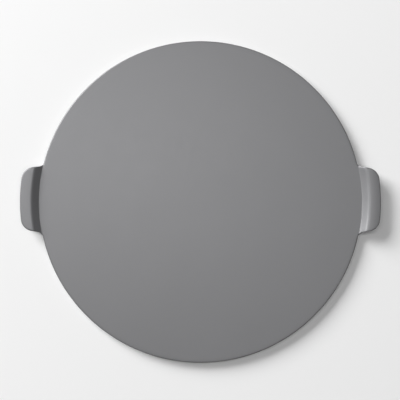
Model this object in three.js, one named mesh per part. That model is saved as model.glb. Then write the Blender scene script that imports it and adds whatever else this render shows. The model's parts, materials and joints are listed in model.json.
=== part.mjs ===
// A round pizza pan. One pressed steel sheet makes the baking floor, two raised handles and a turned-down
// rim. The rim's lower edge is rolled round a steel wire, and each side of the sheet has a fired ceramic
// coat. Millimetres, +Z up. The origin is on the pan's axis, on the surface that the pan stands on, and X
// runs through the handles.
import * as THREE from "three";

const { clamp, degToRad, lerp, smoothstep } = THREE.MathUtils;

// Driving dimensions: sheet, coat and wire
const sheetThickness = 0.9;
const coatThickness = 0.04;
const wireDiameter = 2.4;
const wireClearance = 0.2; // round the wire, inside the roll

// Driving dimensions: floor and rim
const discDiameter = 400; // over the rim
const shoulderRadius = 1.5; // outside of the bend from the floor into the rim
const rimStraight = 4.3; // height of the rim's wall between the shoulder and the roll's cut edge
const rollSlit = 0.2; // between the roll's cut edge and the inside of the rim
const standingFlat = 1.2; // width of the flat pressed along the bottom of the roll

// Driving dimensions: handles
const handleReach = 22.4; // beyond the disc
const handleWidth = 81.4; // at the disc's edge
const handleTaper = degToRad(10); // of each side towards the handle's end
const handleCornerRadius = 16;
const handleRootRadius = 7.5; // where the handle's side meets the disc's edge
const handleRimStraight = 0.4; // like rimStraight, at the handle's end
const riseAngle = degToRad(44);
const riseStraight = 7.2; // length of the slope between its two bends
const footBendRadius = 1; // on the top face
const crestBendRadius = 7; // on the top face
const tabBendRadius = 60; // on the top face, of the gently crowned tab beyond the crest
const tabAngle = degToRad(5); // of the top where the crest runs out into the tab

// Steps that round stretches are divided into
const discArcSteps = 26;
const rootSteps = 3;
const cornerSteps = 4;
const footSteps = 2;
const crestSteps = 3;
const handleColumns = 5;
const shoulderSteps = 3;
const outerRollSteps = 2;
const innerRollSteps = 4;
const wireSides = 8;
const leastRow = 0.6; // rows of a handle that lie closer than this are one row

// Heights and radii that follow
const discRadius = discDiameter / 2;
const handleRadius = discRadius + handleReach;
const rollRadius = wireDiameter / 2 + wireClearance + sheetThickness;
const rollOffset = shoulderRadius - rollRadius; // of the roll's centre, outwards from the crown line
const rollHeight = Math.sqrt(rollRadius ** 2 - (standingFlat / 2) ** 2);
const cutEdge = 2 * Math.PI - Math.acos((rollRadius - sheetThickness - rollSlit) / rollRadius);
const cutEdgeHeight = -rollRadius * Math.sin(cutEdge);
const floorTop = rollHeight + cutEdgeHeight + rimStraight + shoulderRadius;
const handleRimDepth = shoulderRadius + handleRimStraight + cutEdgeHeight; // from the tab to the roll's middle

// Distances from the axis along a handle, and levels of the centres of its bends. The crest bend passes into
// the tab bend without a break, and the tab is highest at its axis.
const riseFoot = discRadius;
const slopeFoot = riseFoot + footBendRadius * Math.sin(riseAngle);
const slopeTop = slopeFoot + riseStraight * Math.cos(riseAngle);
const crestAxis = slopeTop + crestBendRadius * Math.sin(riseAngle);
const tabAxis = crestAxis + (tabBendRadius - crestBendRadius) * Math.sin(tabAngle);
const footLevel = floorTop + footBendRadius;
const slopeRise = riseStraight * Math.sin(riseAngle);
const crestLevel = footLevel + slopeRise - (footBendRadius + crestBendRadius) * Math.cos(riseAngle);
const tabLevel = crestLevel - (tabBendRadius - crestBendRadius) * Math.cos(tabAngle);

const shares = (steps) => Array.from({ length: steps + 1 }, (_, i) => i / steps);
const polar = (radius, angle) => new THREE.Vector2(radius * Math.cos(angle), radius * Math.sin(angle));

// Height of the face that lies at a depth below the sheet's bare top, at a distance from the axis
function heightAt(radius, depth) {
  const foot = footBendRadius + depth;
  const crest = crestBendRadius - depth;
  const tab = tabBendRadius - depth;
  const slopeStart = riseFoot + foot * Math.sin(riseAngle);
  const slopeEnd = crestAxis - crest * Math.sin(riseAngle);
  const crestEnd = crestAxis - crest * Math.sin(tabAngle);
  if (radius <= riseFoot) return floorTop - depth;
  if (radius < slopeStart) return footLevel - Math.sqrt(foot ** 2 - (radius - riseFoot) ** 2);
  if (radius < slopeEnd) {
    return footLevel - foot * Math.cos(riseAngle) + (radius - slopeStart) * Math.tan(riseAngle);
  }
  if (radius < crestEnd) return crestLevel + Math.sqrt(crest ** 2 - (radius - crestAxis) ** 2);
  return tabLevel + Math.sqrt(tab ** 2 - (radius - tabAxis) ** 2);
}

// The crown line is where the top turns down into the rim, one shoulder radius inside the pan's outline.
// A handle's side is a straight line between a root arc and a corner arc.
const crownDisc = discRadius - shoulderRadius;
const crownHandle = handleRadius - shoulderRadius;
const crownRoot = handleRootRadius + shoulderRadius;
const crownCorner = handleCornerRadius - shoulderRadius;
const along = polar(1, -handleTaper);
const across = polar(1, Math.PI / 2 - handleTaper);
const sideDistance = across.dot(new THREE.Vector2(discRadius, handleWidth / 2));

function besideHandle(distance, radius) {
  const forward = Math.sqrt(radius ** 2 - distance ** 2);
  return across.clone().multiplyScalar(distance).addScaledVector(along, forward);
}

const rootCentre = besideHandle(sideDistance + handleRootRadius, discRadius + handleRootRadius);
const cornerCentre = besideHandle(sideDistance - handleCornerRadius, handleRadius - handleCornerRadius);
const rootEnd = rootCentre.clone().addScaledVector(across, -crownRoot).length();
const cornerStart = cornerCentre.clone().addScaledVector(across, crownCorner).length();

function onArc(centre, arcRadius, radius, way) {
  const reach = centre.length();
  const cosine = (reach ** 2 + radius ** 2 - arcRadius ** 2) / (2 * reach * radius);
  return polar(radius, centre.angle() + way * Math.acos(clamp(cosine, -1, 1)));
}

// Point of the crown line on a handle's upper side at a distance from the axis, with its outward direction
function sideAt(radius) {
  if (radius <= rootEnd) {
    const point = onArc(rootCentre, crownRoot, radius, -1);
    return { point, outward: rootCentre.clone().sub(point).normalize() };
  }
  if (radius < cornerStart) {
    return { point: besideHandle(sideDistance - shoulderRadius, radius), outward: across };
  }
  const point = onArc(cornerCentre, crownCorner, radius, 1);
  return { point, outward: point.clone().sub(cornerCentre).normalize() };
}

// Height of the roll's middle under a place on the crown line: it climbs from the disc to the tab, then
// follows the tab to its end
function rollMiddle(radius) {
  const underTab = heightAt(Math.max(radius, tabAxis), 0) - handleRimDepth;
  return lerp(rollHeight, underTab, smoothstep(radius, crownDisc, tabAxis));
}

const arcRadii = (centre, radius, from, to, steps) =>
  shares(steps).map((share) => polar(radius, lerp(from, to, share)).add(centre).length());

const rowRadii = [crownDisc];
[
  ...arcRadii(rootCentre, crownRoot, rootCentre.angle() + Math.PI, across.angle() + Math.PI, rootSteps),
  ...shares(footSteps).map((share) => riseFoot + footBendRadius * Math.sin(share * riseAngle)),
  ...shares(crestSteps)
    .map((share) => lerp(riseAngle, tabAngle, share))
    .map((angle) => crestAxis - crestBendRadius * Math.sin(angle)),
  tabAxis,
  ...arcRadii(cornerCentre, crownCorner, across.angle(), cornerCentre.angle(), cornerSteps),
]
  .sort((a, b) => a - b)
  .forEach((radius) => {
    if (radius - rowRadii.at(-1) > leastRow && crownHandle - radius > leastRow) rowRadii.push(radius);
  });
rowRadii.push(crownHandle);

// Plan of the level floor's edge, of both handles' tops and of the stations round the crown line
const halfTurns = [0, Math.PI];
const rootAngle = sideAt(crownDisc).point.angle();
const endAngle = sideAt(crownHandle).point.angle();
const columns = shares(handleColumns).map((share) => 2 * share - 1);
const discArc = shares(discArcSteps)
  .slice(1, -1)
  .map((share) => lerp(rootAngle, Math.PI - rootAngle, share));

const handlePlans = halfTurns.map((turn) =>
  rowRadii.map((radius) => {
    const halfAngle = sideAt(radius).point.angle();
    return columns.map((share) => polar(radius, turn + share * halfAngle));
  }),
);
const floorEdge = halfTurns.flatMap((turn, i) => [
  ...handlePlans[i][0],
  ...discArc.map((angle) => polar(crownDisc, turn + angle)),
]);

const radial = (radius, angle) => ({ point: polar(radius, angle), outward: polar(1, angle) });
const mirrored = ({ point, outward }) => ({
  point: new THREE.Vector2(point.x, -point.y),
  outward: new THREE.Vector2(outward.x, -outward.y),
});
const side = rowRadii.map(sideAt);
const halfRound = [
  ...side.map(mirrored),
  ...columns.slice(1, -1).map((share) => radial(crownHandle, share * endAngle)),
  ...side.toReversed(),
  ...discArc.map((angle) => radial(crownDisc, angle)),
];
const onAxis = new THREE.Vector2();
const stations = halfTurns.flatMap((turn) =>
  halfRound.map(({ point, outward }) => ({
    point: point.clone().rotateAround(onAxis, turn),
    outward: outward.clone().rotateAround(onAxis, turn),
    rollZ: rollMiddle(point.length()),
  })),
);

// Where the roll climbs to a handle it is stretched upright, so that it stays round across its own run
stations.forEach((station, i) => {
  const before = stations.at(i - 1);
  const after = stations[(i + 1) % stations.length];
  const run = before.point.distanceTo(station.point) + station.point.distanceTo(after.point);
  station.stretch = Math.hypot(1, (after.rollZ - before.rollZ) / run);
});

// Points of the rim's section at a station, at a depth below the sheet's outer face
function outwardFrom(station, distance) {
  return station.point.clone().addScaledVector(station.outward, distance);
}

function shoulder(station, depth) {
  const bend = shoulderRadius - depth;
  return shares(shoulderSteps).map((share) => {
    const turn = (share * Math.PI) / 2;
    const plan = outwardFrom(station, bend * Math.sin(turn));
    return new THREE.Vector3(plan.x, plan.y, heightAt(plan.length(), depth) - bend * (1 - Math.cos(turn)));
  });
}

function roundRoll(station, radius, turn) {
  const plan = outwardFrom(station, rollOffset + radius * Math.cos(turn));
  return new THREE.Vector3(plan.x, plan.y, station.rollZ - station.stretch * radius * Math.sin(turn));
}

// Turns round the roll from its outermost line: down to the standing flat, and from the flat round to the
// cut edge. Every layer has the same turns, but a coat's edge lies level with the flat.
const flatTurn = (depth) => Math.asin(rollHeight / (rollRadius - Math.min(depth, 0)));
const outerTurns = shares(outerRollSteps).map((share) => share * flatTurn(0));
const innerTurns = shares(innerRollSteps).map((share) => lerp(Math.PI - flatTurn(0), cutEdge, share));

function outerRoll(station, depth) {
  const turns = [...outerTurns.slice(0, -1), flatTurn(depth)];
  return turns.map((turn) => roundRoll(station, rollRadius - depth, turn));
}

function innerRoll(station, depth) {
  const turns = [Math.PI - flatTurn(depth), ...innerTurns.slice(1)];
  return turns.map((turn) => roundRoll(station, rollRadius - depth, turn));
}

const sheetRim = (depth) => (station) => [
  ...shoulder(station, depth),
  ...outerRoll(station, depth),
  ...innerRoll(station, depth),
];
const outsideRim = (depth) => (station) => [...shoulder(station, depth), ...outerRoll(station, depth)];

// The underside coat bridges the slit between the rim's wall and the roll's cut edge
const insideRim = (wallDepth, rollDepth) => (station) => {
  const overRoll = innerRoll(station, rollDepth).toReversed();
  const wall = outwardFrom(station, shoulderRadius - wallDepth);
  const atSlit = new THREE.Vector3(wall.x, wall.y, overRoll[0].z);
  return [...shoulder(station, wallDepth), atSlit, ...overRoll];
};

// Triangles are flat lists of corners. A quad is cut along its shorter diagonal, so that two pieces which
// share a face cut it alike.
function quad(a, b, c, d) {
  return a.distanceToSquared(c) <= b.distanceToSquared(d) ? [a, b, c, a, c, d] : [a, b, d, b, c, d];
}

function strip(near, far) {
  return near.slice(1).flatMap((_, i) => quad(near[i], far[i], far[i + 1], near[i + 1]));
}

const closed = (list) => [...list, list[0]];
const rowPairs = (rows) => rows.slice(1).map((row, i) => [rows[i], row]);

// One face of the sheet or of a coat, seen from above: floor, handle tops and rim sections at a depth
function face(depth, rimSection) {
  const raise = (plan) => new THREE.Vector3(plan.x, plan.y, heightAt(plan.length(), depth));
  const centre = raise(onAxis);
  const edge = closed(floorEdge.map(raise));
  const floor = edge.slice(1).flatMap((corner, i) => [centre, edge[i], corner]);
  const handles = handlePlans.flatMap((rows) =>
    rowPairs(rows.map((row) => row.map(raise))).flatMap(([near, far]) => strip(near, far)),
  );
  const sections = stations.map(rimSection);
  const rings = sections[0].map((_, j) => closed(sections.map((section) => section[j])));
  const rim = rowPairs(rings).flatMap(([near, far]) => strip(near, far));
  return { triangles: [...floor, ...handles, ...rim], lastRing: rings.at(-1) };
}

function layer(upper, lower) {
  return [
    ...upper.triangles,
    ...strip(upper.lastRing, lower.lastRing),
    ...lower.triangles.toReversed(),
  ];
}

function named(name, corners, material) {
  const geometry = new THREE.BufferGeometry().setFromPoints(corners);
  geometry.computeVertexNormals();
  const mesh = new THREE.Mesh(geometry, new THREE.MeshStandardMaterial(material));
  mesh.name = name;
  return mesh;
}

const bareSteel = { color: "#a3a5a6", roughness: 0.42, metalness: 1 };
const greyCeramic = { color: "#88888b", roughness: 0.42, metalness: 0.4 };
const underside = sheetThickness;

const panSheet = layer(face(0, sheetRim(0)), face(underside, sheetRim(underside)));
const topCoating = layer(face(-coatThickness, outsideRim(-coatThickness)), face(0, outsideRim(0)));
const undersideCoating = layer(
  face(underside, insideRim(underside, 0)),
  face(underside + coatThickness, insideRim(underside + coatThickness, -coatThickness)),
);

// The wire lies in the middle of the roll, all the way round the rim
const wireRings = shares(wireSides).map((share) =>
  closed(stations.map((station) => roundRoll(station, wireDiameter / 2, 2 * Math.PI * share))),
);
const rimWire = rowPairs(wireRings).flatMap(([near, far]) => strip(near, far));

const pizzaPan = new THREE.Group();
pizzaPan.add(
  named("pan_sheet", panSheet, bareSteel),
  named("rim_wire", rimWire, bareSteel),
  named("top_coating", topCoating, greyCeramic),
  named("underside_coating", undersideCoating, greyCeramic),
);

export default pizzaPan;
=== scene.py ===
import json
from collections import namedtuple
from math import acos, asin, atan2, cos, hypot, pi, radians, sin, sqrt, tan

import bmesh
import bpy
from mathutils import Matrix, Vector


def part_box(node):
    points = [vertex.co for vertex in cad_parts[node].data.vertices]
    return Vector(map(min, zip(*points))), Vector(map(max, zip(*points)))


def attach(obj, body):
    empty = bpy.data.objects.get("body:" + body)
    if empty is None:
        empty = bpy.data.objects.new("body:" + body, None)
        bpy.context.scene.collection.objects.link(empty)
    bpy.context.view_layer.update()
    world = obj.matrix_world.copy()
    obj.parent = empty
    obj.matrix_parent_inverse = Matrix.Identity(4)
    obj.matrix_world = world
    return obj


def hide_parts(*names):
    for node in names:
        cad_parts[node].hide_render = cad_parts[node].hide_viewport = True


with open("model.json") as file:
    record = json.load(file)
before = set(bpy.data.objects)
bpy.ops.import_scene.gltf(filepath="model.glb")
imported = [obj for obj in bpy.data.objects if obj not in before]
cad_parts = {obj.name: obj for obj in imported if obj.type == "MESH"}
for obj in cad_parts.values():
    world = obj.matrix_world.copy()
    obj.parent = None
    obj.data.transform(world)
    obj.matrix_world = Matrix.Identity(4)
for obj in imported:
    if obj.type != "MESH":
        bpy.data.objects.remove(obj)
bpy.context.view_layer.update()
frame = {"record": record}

# The pressed sheet
# The whole pan is one disc of steel. A press raises a handle at each side and turns the edge down
# all round, and the edge is rolled inwards. Only the flat that the pan stands on stays uncoated.
mounts = {mount["name"]: Vector(mount["pos_m"]) for mount in frame["record"]["mounts"]}
sheet_thickness = 0.0009
coat_thickness = 0.00004
floor_top = mounts["baking_floor"].z - coat_thickness
disc_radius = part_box("pan_sheet")[1].y
handle_reach = 0.0224
handle_radius = disc_radius + handle_reach
handle_width = 0.0814
handle_taper = radians(10)
corner_radius = 0.016
root_radius = 0.0075
shoulder_radius = 0.0015
origin = Vector((0, 0, 0))
upward = Vector((0, 0, 1))


def polar(radius, angle):
    return Vector((radius * cos(angle), radius * sin(angle), 0))


def angle_of(place):
    return atan2(place.y, place.x)


# The crown line is where the top turns down into the rim, one shoulder radius inside the outline
crown_disc = disc_radius - shoulder_radius
side_angle = pi / 2 - handle_taper
across_side = polar(1, side_angle)
along_side = polar(1, -handle_taper)
side_distance = across_side.dot(Vector((disc_radius, handle_width / 2, 0)))


def beside_handle(distance, radius):
    """The place at a radius, a distance from the pan's axis square to the handle's side."""
    return across_side * distance + along_side * sqrt(radius**2 - distance**2)


root_centre = beside_handle(side_distance + root_radius, disc_radius + root_radius)
corner_centre = beside_handle(side_distance - corner_radius, handle_radius - corner_radius)
side_start = root_centre - across_side * (root_radius + shoulder_radius)
side_end = corner_centre + across_side * (corner_radius - shoulder_radius)

# A handle rises on a slope between a tight bend at its foot and a wider one at its crest. The crest
# runs out into a gently crowned tab, which is highest half way along and falls a little to its end.
rise_angle = radians(44)
rise_straight = 0.0072
foot_bend = 0.001
crest_bend = 0.007
tab_bend = 0.06
tab_angle = radians(5)
rise_foot = disc_radius
slope_foot = rise_foot + foot_bend * sin(rise_angle)
crest_axis = slope_foot + rise_straight * cos(rise_angle) + crest_bend * sin(rise_angle)
tab_axis = crest_axis + (tab_bend - crest_bend) * sin(tab_angle)
foot_level = floor_top + foot_bend
between_bends = (foot_bend + crest_bend) * cos(rise_angle)
crest_level = foot_level - between_bends + rise_straight * sin(rise_angle)
tab_level = crest_level - (tab_bend - crest_bend) * cos(tab_angle)


def top_height(radius, depth):
    """Height, at a radius, of the face at a depth below the bare sheet's top."""
    foot, crest, tab = foot_bend + depth, crest_bend - depth, tab_bend - depth
    slope_start = rise_foot + foot * sin(rise_angle)
    if radius <= rise_foot:
        return floor_top - depth
    if radius < slope_start:
        return foot_level - sqrt(foot**2 - (radius - rise_foot) ** 2)
    if radius < crest_axis - crest * sin(rise_angle):
        return foot_level - foot * cos(rise_angle) + (radius - slope_start) * tan(rise_angle)
    if radius < crest_axis - crest * sin(tab_angle):
        return crest_level + sqrt(crest**2 - (radius - crest_axis) ** 2)
    return tab_level + sqrt(tab**2 - (radius - tab_axis) ** 2)


# The roll is a tube round the wire. It lies on the table under the disc, climbs beside a handle's
# slope and follows the tab to its end.
roll_radius = 0.0023
roll_slit = 0.0002
standing_flat = 0.0012
handle_rim_straight = 0.0004
roll_offset = -mounts["standing_ring"].y - crown_disc
roll_height = sqrt(roll_radius**2 - (standing_flat / 2) ** 2)
cut_edge = 2 * pi - acos((roll_radius - sheet_thickness - roll_slit) / roll_radius)
cut_edge_height = -roll_radius * sin(cut_edge)
handle_rim_depth = shoulder_radius + handle_rim_straight + cut_edge_height

# How finely the meshes are divided
disc_steps = 72
root_steps = 14
side_steps = 14
corner_steps = 12
column_steps = 12
shoulder_steps = 8
outer_roll_steps = 8
inner_roll_steps = 20
floor_ring_shares = (0.985, 0.9, 0.7, 0.4, 0)
crease_angle = radians(40)
seam_tolerance = 1e-6


def swept(bm, vertex, centre, angle, steps):
    """Draws a line on from a vertex, round an upright axis, and gives the line's last vertex."""
    arc = bmesh.ops.spin(bm, geom=[vertex], cent=centre, axis=upward, angle=angle, steps=steps)
    return arc["geom_last"][0]


def drawn_out(bm, chain, places):
    """Extrudes a chain of vertices to new places, and gives the new chain in the same order."""
    edges = [bm.edges.get(pair) for pair in zip(chain, chain[1:])]
    drawn = set(bmesh.ops.extrude_edge_only(bm, edges=edges)["geom"])
    new_chain = []
    for vertex, place in zip(chain, places):
        neighbours = [edge.other_vert(vertex) for edge in vertex.link_edges]
        new_vertex = next(neighbour for neighbour in neighbours if neighbour in drawn)
        new_vertex.co = place
        new_chain.append(new_vertex)
    return new_chain


def walked_from(bm, first):
    """The vertices of an unbroken line in their order."""
    chain = [first]
    while len(chain) < len(bm.verts):
        ahead = [edge.other_vert(chain[-1]) for edge in chain[-1].link_edges]
        chain.append(next(vertex for vertex in ahead if vertex not in chain[-2:]))
    return chain


def crown_line(bm):
    """A quarter of the crown line in plan, from the Y axis to the corner of the handle."""
    first = last = bm.verts.new((0, crown_disc, 0))
    last = swept(bm, last, origin, angle_of(root_centre) - pi / 2, disc_steps)
    last = swept(bm, last, root_centre, side_angle - angle_of(root_centre), root_steps)
    for _ in range(side_steps):
        last = bmesh.ops.extrude_vert_indiv(bm, verts=[last])["verts"][0]
        last.co += (side_end - side_start) / side_steps
    swept(bm, last, corner_centre, angle_of(corner_centre) - side_angle, corner_steps)
    return walked_from(bm, first)


def whole_crown_line(bm):
    """The same quarter, led on along the handle's end to the X axis."""
    chain = crown_line(bm)
    swept(bm, chain[-1], origin, -angle_of(corner_centre), column_steps)
    return walked_from(bm, chain[0])


# A station is a place on the crown line in plan, the way out from it, the height of the roll's
# middle under it and how far the roll is stretched upright there, to stay round where it climbs
Station = namedtuple("Station", "point outward roll_z stretch")


def roll_z_at(place):
    """Height of the roll's middle under a place on the crown line. It climbs in a smooth step."""
    radius = place.xy.length
    under_tab = top_height(max(radius, tab_axis), 0) - handle_rim_depth
    share = min(max((radius - crown_disc) / (tab_axis - crown_disc), 0), 1)
    return roll_height + (under_tab - roll_height) * share**2 * (3 - 2 * share)


def rim_stations():
    """A station for each vertex of the whole crown line."""
    bm = bmesh.new()
    points = [vertex.co.copy() for vertex in whole_crown_line(bm)]
    bm.free()
    line = []
    for i, point in enumerate(points):
        before = points[i - 1] if i else Vector((-points[1].x, points[1].y, 0))
        after = points[i + 1] if i + 1 < len(points) else Vector((before.x, -before.y, 0))
        run = after - before
        climb = (roll_z_at(after) - roll_z_at(before)) / run.length
        outward = Vector((-run.y, run.x, 0)).normalized()
        line.append(Station(point, outward, roll_z_at(point), hypot(1, climb)))
    return line


stations = rim_stations()


def shoulder(station, depth):
    """The bend from the top into the rim, at a depth below the bare sheet's top."""
    bend = shoulder_radius - depth
    places = []
    for step in range(shoulder_steps + 1):
        turn = pi / 2 * step / shoulder_steps
        place = station.point + station.outward * bend * sin(turn)
        place.z = top_height(place.xy.length, depth) - bend * (1 - cos(turn))
        places.append(place)
    return places


def on_roll(station, radius, turn):
    """A place round the roll's middle, turned from its outermost line downwards."""
    place = station.point + station.outward * (roll_offset + radius * cos(turn))
    place.z = station.roll_z - station.stretch * radius * sin(turn)
    return place


def roll_arc(station, radius, start, end, steps):
    turns = [start + (end - start) * step / steps for step in range(steps + 1)]
    return [on_roll(station, radius, turn) for turn in turns]


def flat_turn(radius):
    """Turn round the roll, from its outermost line, down to the standing flat."""
    return asin(roll_height / radius)


def sheet_rim(station):
    to_flat = flat_turn(roll_radius)
    return [
        *shoulder(station, 0),
        *roll_arc(station, roll_radius, 0, to_flat, outer_roll_steps),
        *roll_arc(station, roll_radius, pi - to_flat, cut_edge, inner_roll_steps),
    ]


def mirrored(bm):
    """Mirrors a quarter of the pan to the whole."""
    unmoved = Matrix.Identity(4)
    for axis in "XY":
        part = bm.verts[:] + bm.edges[:] + bm.faces[:]
        bmesh.ops.mirror(bm, geom=part, matrix=unmoved, merge_dist=seam_tolerance, axis=axis)
    bmesh.ops.remove_doubles(bm, verts=bm.verts[:], dist=seam_tolerance)
    bmesh.ops.recalc_face_normals(bm, faces=bm.faces[:])


def pressed_shell(depth, rim_section, thickness, facing):
    """Floor, handles and rim with one face at a depth below the sheet's top.

    That face looks up where facing is 1 and down where it is -1, and the wall's thickness lies
    behind it. Its mesh attribute on the shoulder is 1 in the middle of the bend and places the
    painted shade and the rubbed wear there.
    """
    bm = bmesh.new()
    bend_shade_and_wear = bm.verts.layers.float.new("bend_shade_and_wear")
    crown = crown_line(bm)
    side = crown[disc_steps:]
    columns = [side]
    for step in range(1, column_steps + 1):
        share = 1 - step / column_steps
        row_places = [polar(vertex.co.xy.length, share * angle_of(vertex.co)) for vertex in side]
        columns.append(drawn_out(bm, columns[-1], row_places))
    for vertex in bm.verts:
        vertex.co.z = top_height(vertex.co.xy.length, depth)

    floor_edge = crown[: disc_steps + 1] + [column[0] for column in columns[1:]]
    floor_axis = Vector((0, 0, floor_top - depth))
    ring = floor_edge
    for share in floor_ring_shares:
        ring = drawn_out(bm, ring, [floor_axis.lerp(vertex.co, share) for vertex in floor_edge])
    bmesh.ops.pointmerge(bm, verts=ring, merge_co=floor_axis)

    ring = crown + [column[-1] for column in columns[1:]]
    ring_places = list(zip(*(rim_section(station) for station in stations)))
    for step in range(1, len(ring_places)):
        ring = drawn_out(bm, ring, ring_places[step])
        # the shoulder's rows carry the mask for the painted shade and the rubbed wear on the rim's
        # bend
        for vertex in ring:
            vertex[bend_shade_and_wear] = sin(pi * min(step / shoulder_steps, 1))

    mirrored(bm)
    floor_face = max(bm.faces, key=lambda face: face.calc_area())
    if floor_face.normal.z * facing < 0:
        bmesh.ops.reverse_faces(bm, faces=bm.faces[:])
    bmesh.ops.solidify(bm, geom=bm.faces[:], thickness=thickness)
    return bm


def finished_piece(bm, name, material):
    """The pan's piece with that mesh, name and material."""
    mesh = bpy.data.meshes.new(name)
    bm.to_mesh(mesh)
    bm.free()
    mesh.shade_smooth()
    mesh.set_sharp_from_angle(angle=crease_angle)
    mesh.materials.append(material)
    piece = bpy.data.objects.new(name, mesh)
    bpy.context.scene.collection.objects.link(piece)
    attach(piece, "root")
    return piece


def feed(tree, socket, value):
    """Sets a socket to a value, or links it to another node's output."""
    if isinstance(value, bpy.types.NodeSocket):
        tree.links.new(value, socket)
    else:
        socket.default_value = value


def put(tree, kind, **sockets):
    """Adds a node, and feeds each of the named sockets."""
    node = tree.nodes.new(kind)
    for name, value in sockets.items():
        feed(tree, node.inputs[name.replace("_", " ")], value)
    return node


def scaled(tree, value, factor, added):
    """value times factor plus added."""
    node = tree.nodes.new("ShaderNodeMath")
    node.operation = "MULTIPLY_ADD"
    for socket, term in zip(node.inputs, (value, factor, added)):
        feed(tree, socket, term)
    return node.outputs["Value"]


def noise(tree, place, scale, detail):
    """Soft spots of 0 to 1, about as many to the metre as scale says."""
    spots = put(tree, "ShaderNodeTexNoise", Vector=place, Scale=scale, Detail=detail)
    return spots.outputs["Fac"]


def new_material(name):
    """A material with only its Principled shader, its node tree and that shader."""
    material = bpy.data.materials.new(name)
    material.use_nodes = True
    return material, material.node_tree, material.node_tree.nodes["Principled BSDF"]


# Cold-rolled steel has a fine grain of short scratches and a cloudy, oily gloss
steel_grey = (0.54, 0.55, 0.56, 1)
steel_cloud_scale = 60
steel_cloud_tone = 0.16
steel_least_tone = 0.92
steel_grain_scale = 2600
steel_grain_roughness = 0.2
steel_least_roughness = 0.28
steel_grain_depth = 0.000004

bare_steel, steel_tree, steel = new_material("bare_steel")
steel_place = put(steel_tree, "ShaderNodeTexCoord").outputs["Object"]
steel_cloud = noise(steel_tree, steel_place, steel_cloud_scale, detail=3)
steel_grain = noise(steel_tree, steel_place, steel_grain_scale, detail=2)
steel_tone = scaled(steel_tree, steel_cloud, steel_cloud_tone, steel_least_tone)
steel_tint = put(steel_tree, "ShaderNodeHueSaturation", Color=steel_grey, Value=steel_tone)
steel_roughness = scaled(steel_tree, steel_grain, steel_grain_roughness, steel_least_roughness)
steel_bump = put(steel_tree, "ShaderNodeBump", Height=steel_grain, Distance=steel_grain_depth)
feed(steel_tree, steel.inputs["Base Color"], steel_tint.outputs["Color"])
feed(steel_tree, steel.inputs["Metallic"], 1)
feed(steel_tree, steel.inputs["Roughness"], steel_roughness)
feed(steel_tree, steel.inputs["Normal"], steel_bump.outputs["Normal"])

sheet_shell = pressed_shell(0, sheet_rim, sheet_thickness, facing=1)
pressed_sheet = finished_piece(sheet_shell, "pressed_sheet", bare_steel)
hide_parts("pan_sheet")

# The wire in the rim
# A closed ring of drawn steel wire lies loose inside the roll all the way round the pan, handles
# included. It is bent to the outline and welded end to end before the edge is rolled over it.
wire_radius = 0.0012
wire_sides = 12

wire_shell = bmesh.new()
wire_line = whole_crown_line(wire_shell)
for vertex, station in zip(wire_line, stations):
    vertex.co = on_roll(station, wire_radius, 0)
for side in range(1, wire_sides + 1):
    turn = 2 * pi * side / wire_sides
    line_places = [on_roll(station, wire_radius, turn) for station in stations]
    wire_line = drawn_out(wire_shell, wire_line, line_places)
mirrored(wire_shell)
rim_wire_ring = finished_piece(wire_shell, "rim_wire_ring", bare_steel)
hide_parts("rim_wire")

# The coat on the top
# Ceramic is sprayed on the top, the handles and the outside of the rim, down to the standing flat,
# and fired to an even satin grey. It draws thin over the tight bend of the rim.
coated_roll = roll_radius + coat_thickness


def outside_rim(station):
    return [
        *shoulder(station, -coat_thickness),
        *roll_arc(station, coated_roll, 0, flat_turn(coated_roll), outer_roll_steps),
    ]


# Fired ceramic: faint clouds from the spray gun's passes, a fine speckle and a skin like orange
# peel. Along the bend of the rim the grey is painted darker, as painted shade round the edge, and
# there hands have rubbed the coat smoother.
ceramic_grey = (0.23, 0.23, 0.237, 1)
ceramic_roughness = 0.42
ceramic_metallic = 0.4
cloud_scale = 11
cloud_tone = 0.05
drift_scale = 140
drift_tone = 0.03
drift_roughness = 0.08
speckle_scale = 1700
speckle_tone = 0.05
speckle_height = 0.3
peel_scale = 650
skin_depth = 0.000012
least_tone = 0.935
# painted shade: the grey is made this much darker in the middle of the rim's bend
painted_bend_shade_tone = -0.2
wear_roughness = -0.05

fired_ceramic = bpy.data.node_groups.new("fired_ceramic", "ShaderNodeTree")
for socket_name, way, kind in (
    ("Glaze", "INPUT", "NodeSocketColor"),
    ("Roughness", "INPUT", "NodeSocketFloat"),
    ("Glaze", "OUTPUT", "NodeSocketColor"),
    ("Roughness", "OUTPUT", "NodeSocketFloat"),
    ("Skin", "OUTPUT", "NodeSocketFloat"),
):
    fired_ceramic.interface.new_socket(socket_name, in_out=way, socket_type=kind)
glaze_in = fired_ceramic.nodes.new("NodeGroupInput").outputs
glaze_out = fired_ceramic.nodes.new("NodeGroupOutput").inputs
glaze_place = put(fired_ceramic, "ShaderNodeTexCoord").outputs["Object"]
spray_cloud = noise(fired_ceramic, glaze_place, cloud_scale, detail=2)
spray_drift = noise(fired_ceramic, glaze_place, drift_scale, detail=3)
speckle = noise(fired_ceramic, glaze_place, speckle_scale, detail=1)
peel = noise(fired_ceramic, glaze_place, peel_scale, detail=1)
# mask of the rim's bend, for its painted shade and its rubbed smoothness
shade_and_wear_layer = fired_ceramic.nodes.new("ShaderNodeAttribute")
shade_and_wear_layer.attribute_name = "bend_shade_and_wear"
rim_shade_and_wear = shade_and_wear_layer.outputs["Fac"]
tone = scaled(fired_ceramic, spray_cloud, cloud_tone, least_tone)
tone = scaled(fired_ceramic, spray_drift, drift_tone, tone)
tone = scaled(fired_ceramic, speckle, speckle_tone, tone)
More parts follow.
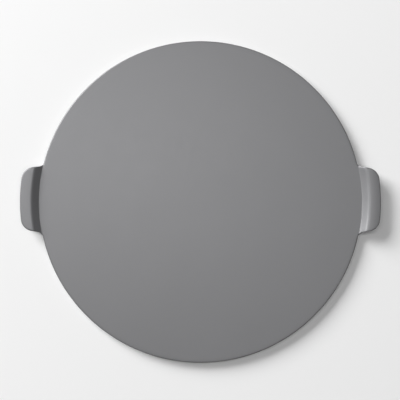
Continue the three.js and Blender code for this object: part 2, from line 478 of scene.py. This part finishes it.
# painted shade: the grey darkens along the rim's bend
tone = scaled(fired_ceramic, rim_shade_and_wear, painted_bend_shade_tone, tone)
tinted = put(fired_ceramic, "ShaderNodeHueSaturation", Color=glaze_in["Glaze"], Value=tone)
roughness = scaled(fired_ceramic, spray_drift, drift_roughness, -drift_roughness / 2)
roughness = scaled(fired_ceramic, rim_shade_and_wear, wear_roughness, roughness)
roughness = scaled(fired_ceramic, glaze_in["Roughness"], 1, roughness)
skin_height = scaled(fired_ceramic, speckle, speckle_height, peel)
feed(fired_ceramic, glaze_out["Glaze"], tinted.outputs["Color"])
feed(fired_ceramic, glaze_out["Roughness"], roughness)
feed(fired_ceramic, glaze_out["Skin"], skin_height)


def fired_coat(name):
    """A material for one coat of the fired ceramic."""
    material, tree, shader = new_material(name)
    glaze = tree.nodes.new("ShaderNodeGroup")
    glaze.node_tree = fired_ceramic
    feed(tree, glaze.inputs["Glaze"], ceramic_grey)
    feed(tree, glaze.inputs["Roughness"], ceramic_roughness)
    skin = put(tree, "ShaderNodeBump", Height=glaze.outputs["Skin"], Distance=skin_depth)
    feed(tree, shader.inputs["Base Color"], glaze.outputs["Glaze"])
    feed(tree, shader.inputs["Metallic"], ceramic_metallic)
    feed(tree, shader.inputs["Roughness"], glaze.outputs["Roughness"])
    feed(tree, shader.inputs["Normal"], skin.outputs["Normal"])
    return material


top_shell = pressed_shell(-coat_thickness, outside_rim, coat_thickness, facing=1)
top_ceramic = finished_piece(top_shell, "top_ceramic", fired_coat("top_glaze"))
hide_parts("top_coating")

# The coat on the underside
# The same ceramic covers the underside, the inside of the rim and the inner half of the roll. It
# bridges the slit between the rim's wall and the sheet's cut edge, so that no water gets in.
underside_depth = sheet_thickness + coat_thickness


def inside_rim(station):
    to_flat = pi - flat_turn(coated_roll)
    over_roll = roll_arc(station, coated_roll, cut_edge, to_flat, inner_roll_steps)
    at_slit = station.point + station.outward * (shoulder_radius - underside_depth)
    at_slit.z = over_roll[0].z
    return [*shoulder(station, underside_depth), at_slit, *over_roll]


underside_shell = pressed_shell(underside_depth, inside_rim, coat_thickness, facing=-1)
underside_glaze = fired_coat("underside_glaze")
underside_ceramic = finished_piece(underside_shell, "underside_ceramic", underside_glaze)
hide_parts("underside_coating")

# The studio floor
# A sheet of pale matt paper lies under the pan and slopes up into a low wall all round, far away.
# Near the pan it takes the lamps' light and shadow, and out of their reach it has one even tone.
paper_tone = (0.86, 0.86, 0.86, 1)
paper_roughness = 0.7
paper_reach = 8
slope_size = 0.6
wall_radius = paper_reach + slope_size
wall_top = 1.4
lit_reach = 0.7
even_reach = 3
floor_turns = 64

paper_shell = bmesh.new()
paper_edge = paper_shell.verts.new(origin)
for place in ((paper_reach, 0, 0), (wall_radius, 0, slope_size), (wall_radius, 0, wall_top)):
    paper_edge = bmesh.ops.extrude_vert_indiv(paper_shell, verts=[paper_edge])["verts"][0]
    paper_edge.co = place
bmesh.ops.spin(
    paper_shell,
    geom=paper_shell.verts[:] + paper_shell.edges[:],
    cent=origin,
    axis=upward,
    angle=2 * pi,
    steps=floor_turns,
    use_merge=True,
)
bmesh.ops.remove_doubles(paper_shell, verts=paper_shell.verts[:], dist=seam_tolerance)
bmesh.ops.recalc_face_normals(paper_shell, faces=paper_shell.faces[:])
bmesh.ops.reverse_faces(paper_shell, faces=paper_shell.faces[:])
paper_mesh = bpy.data.meshes.new("studio_floor")
paper_shell.to_mesh(paper_mesh)
paper_shell.free()

matt_paper, paper_tree, paper = new_material("matt_paper")
feed(paper_tree, paper.inputs["Base Color"], paper_tone)
feed(paper_tree, paper.inputs["Roughness"], paper_roughness)
paper_place = put(paper_tree, "ShaderNodeTexCoord").outputs["Object"]
from_pan = paper_tree.nodes.new("ShaderNodeVectorMath")
from_pan.operation = "LENGTH"
feed(paper_tree, from_pan.inputs[0], paper_place)
out_of_reach = put(
    paper_tree,
    "ShaderNodeMapRange",
    Value=from_pan.outputs["Value"],
    From_Min=lit_reach,
    From_Max=even_reach,
)
ray = put(paper_tree, "ShaderNodeLightPath").outputs
seen = scaled(paper_tree, ray["Is Camera Ray"], 1, ray["Is Glossy Ray"])
seen = scaled(paper_tree, ray["Is Transmission Ray"], 1, seen)
even_share = scaled(paper_tree, out_of_reach.outputs["Result"], seen, 0)
even_tone = put(paper_tree, "ShaderNodeEmission", Color=paper_tone)
paper_skin = put(paper_tree, "ShaderNodeMixShader", Fac=even_share)
feed(paper_tree, paper_skin.inputs[1], paper.outputs["BSDF"])
feed(paper_tree, paper_skin.inputs[2], even_tone.outputs["Emission"])
paper_surface = paper_tree.nodes["Material Output"].inputs["Surface"]
feed(paper_tree, paper_surface, paper_skin.outputs["Shader"])
paper_mesh.materials.append(matt_paper)
studio_floor = bpy.data.objects.new("studio_floor", paper_mesh)
bpy.context.scene.collection.objects.link(studio_floor)

# Studio light
# A window of soft light stands low at the far left, and a long strip hangs over the pan. A square
# panel above the near right has a polarising sheet to keep its glare off the coat. The room is dim.
room_white = (1, 1, 1, 1)
room_strength = 0.07

room = bpy.data.worlds.new("room")
bpy.context.scene.world = room
room.use_nodes = True
room_light = room.node_tree.nodes["Background"]
room_light.inputs["Color"].default_value = room_white
room_light.inputs["Strength"].default_value = room_strength


def off_to(azimuth, elevation, distance):
    """The place at a distance from the pan in a direction given in degrees."""
    turn, rise = radians(azimuth), radians(elevation)
    return distance * Vector((cos(turn) * cos(rise), sin(turn) * cos(rise), sin(rise)))


def soft_panel(name, width, height, watts, place, behind):
    """A panel of light at a place, with its back to a direction."""
    lamp = bpy.data.lights.new(name, "AREA")
    lamp.shape = "RECTANGLE"
    lamp.size = width
    lamp.size_y = height
    lamp.energy = watts
    panel = bpy.data.objects.new(name, lamp)
    panel.location = place
    panel.rotation_euler = behind.to_track_quat("Z", "Y").to_euler()
    bpy.context.scene.collection.objects.link(panel)
    return panel


window_place = off_to(azimuth=141.5, elevation=28.5, distance=6.0)
strip_place = Vector((-0.7, 0.6, 4.0))
panel_place = off_to(azimuth=-30, elevation=76, distance=4.0)
soft_panel("window", 3.6, 3.0, watts=506, place=window_place, behind=window_place)
soft_panel("strip", 2.4, 0.5, watts=27, place=strip_place, behind=upward)
polarised = soft_panel("polarised", 2.0, 2.0, watts=30, place=panel_place, behind=panel_place)
polarised.visible_glossy = False

# Camera
# It hangs a good metre above the pan, a little towards the near edge, and looks almost straight
# down. The picture is half a metre wide.
camera_distance = 1.10
camera_tip = radians(4.55)
camera_turn = radians(0.09)
camera_target = Vector((-0.00045, -0.00037, 0.008))
picture_width = 0.4963

eye = bpy.data.cameras.new("eye")
eye.sensor_width = 36
eye.lens = eye.sensor_width * camera_distance / picture_width
camera = bpy.data.objects.new("eye", eye)
looking_back = Vector((0, -sin(camera_tip), cos(camera_tip)))
camera.location = camera_target + looking_back * camera_distance
camera.rotation_euler = (camera_tip, 0, camera_turn)
bpy.context.scene.collection.objects.link(camera)
bpy.context.scene.camera = camera
bpy.context.scene.view_settings.view_transform = "Standard"
